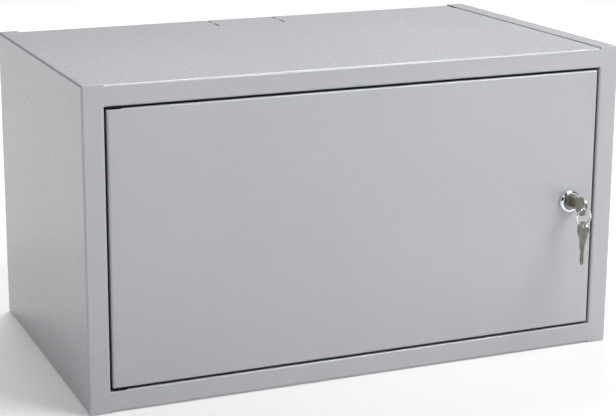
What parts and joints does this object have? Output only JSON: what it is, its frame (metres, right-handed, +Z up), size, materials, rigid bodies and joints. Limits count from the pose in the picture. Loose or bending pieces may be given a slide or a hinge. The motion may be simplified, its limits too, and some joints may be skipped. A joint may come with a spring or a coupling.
{
  "type": "network rack cabinet",
  "caption": "Low 19-inch network cabinet of folded grey sheet steel with an inset hinged front door, cam lock, keys on a ring, and equipment rails inside.",
  "frame": {"origin": "bottom centre of the whole object's box, keys included, on the surface it stands on", "axes": "+X to the cabinet's right as seen from the front, +Y towards its back, +Z up; the door faces -Y"},
  "size_m": [0.6, 0.3914, 0.335],
  "materials": {
    "case_paint": "light grey powder coat, satin, very fine texture",
    "zinc_plate": "bright zinc plate",
    "chrome": "polished chrome",
    "lock_face": "satin nickel",
    "key_nickel": "nickel-plated, lightly handled",
    "nylon": "black moulded nylon",
    "rubber": "black rubber"
  },
  "bodies": {
    "cabinet": {"side_panel_left": "case_paint", "side_panel_right": "case_paint", "top_panel": "case_paint", "bottom_panel": "case_paint", "back_panel": "case_paint", "depth_rail_lower_left": "zinc_plate", "depth_rail_upper_left": "zinc_plate", "depth_rail_lower_right": "zinc_plate", "depth_rail_upper_right": "zinc_plate", "rack_rail_left": "zinc_plate", "rack_rail_right": "zinc_plate", "rail_screw_lower_left": "zinc_plate", "rail_screw_upper_left": "zinc_plate", "rail_screw_lower_right": "zinc_plate", "rail_screw_upper_right": "zinc_plate", "rail_nut_lower_left": "zinc_plate", "rail_nut_upper_left": "zinc_plate", "rail_nut_lower_right": "zinc_plate", "rail_nut_upper_right": "zinc_plate", "back_screw_lower_left": "zinc_plate", "back_screw_middle_left": "zinc_plate", "back_screw_upper_left": "zinc_plate", "back_screw_lower_right": "zinc_plate", "back_screw_middle_right": "zinc_plate", "back_screw_upper_right": "zinc_plate", "stop_bracket_lower": "case_paint", "stop_bracket_upper": "case_paint", "stop_bumper_lower": "rubber", "stop_bumper_upper": "rubber", "earth_stud": "zinc_plate", "earth_washer": "zinc_plate", "earth_nut": "zinc_plate", "hinge_bush_upper": "nylon", "hinge_bush_lower": "nylon"},
    "door": {"door_panel": "case_paint", "door_stiffener": "case_paint", "hinge_bracket_upper": "zinc_plate", "hinge_bracket_lower": "zinc_plate", "hinge_pin_upper": "zinc_plate", "hinge_pin_lower": "zinc_plate", "lock_body": "chrome", "lock_washer": "zinc_plate", "lock_nut": "zinc_plate"},
    "lock_cylinder": {"lock_plug": "lock_face", "lock_cam": "zinc_plate", "cam_washer": "zinc_plate", "cam_screw": "zinc_plate"},
    "key": {"key": "key_nickel"},
    "key_ring": {"key_ring": "chrome"},
    "spare_key": {"spare_key": "key_nickel"}
  },
  "joints": [
    {"name": "door_hinge", "type": "hinge", "parent": "cabinet", "child": "door", "pos_m": [-0.267, -0.14827, 0.1675], "axis": [0, 0, -1], "range_deg": [0, 110]},
    {"name": "lock_turn", "type": "hinge", "parent": "door", "child": "lock_cylinder", "pos_m": [0.245, -0.15427, 0.1675], "axis": [0, 1, 0], "range_deg": [0, 90]},
    {"name": "key_slide", "type": "slide", "parent": "lock_cylinder", "child": "key", "axis": [0, -1, 0], "range_m": [0, 0.024]},
    {"name": "key_ring_swing", "type": "hinge", "parent": "key", "child": "key_ring", "pos_m": [0.245, -0.18548, 0.16595], "axis": [-1, 0, 0], "range_deg": [-12, 90]},
    {"name": "spare_key_swing", "type": "hinge", "parent": "key_ring", "child": "spare_key", "pos_m": [0.245, -0.18548, 0.14875], "axis": [-1, 0, 0], "range_deg": [-18, 75]}
  ]
}
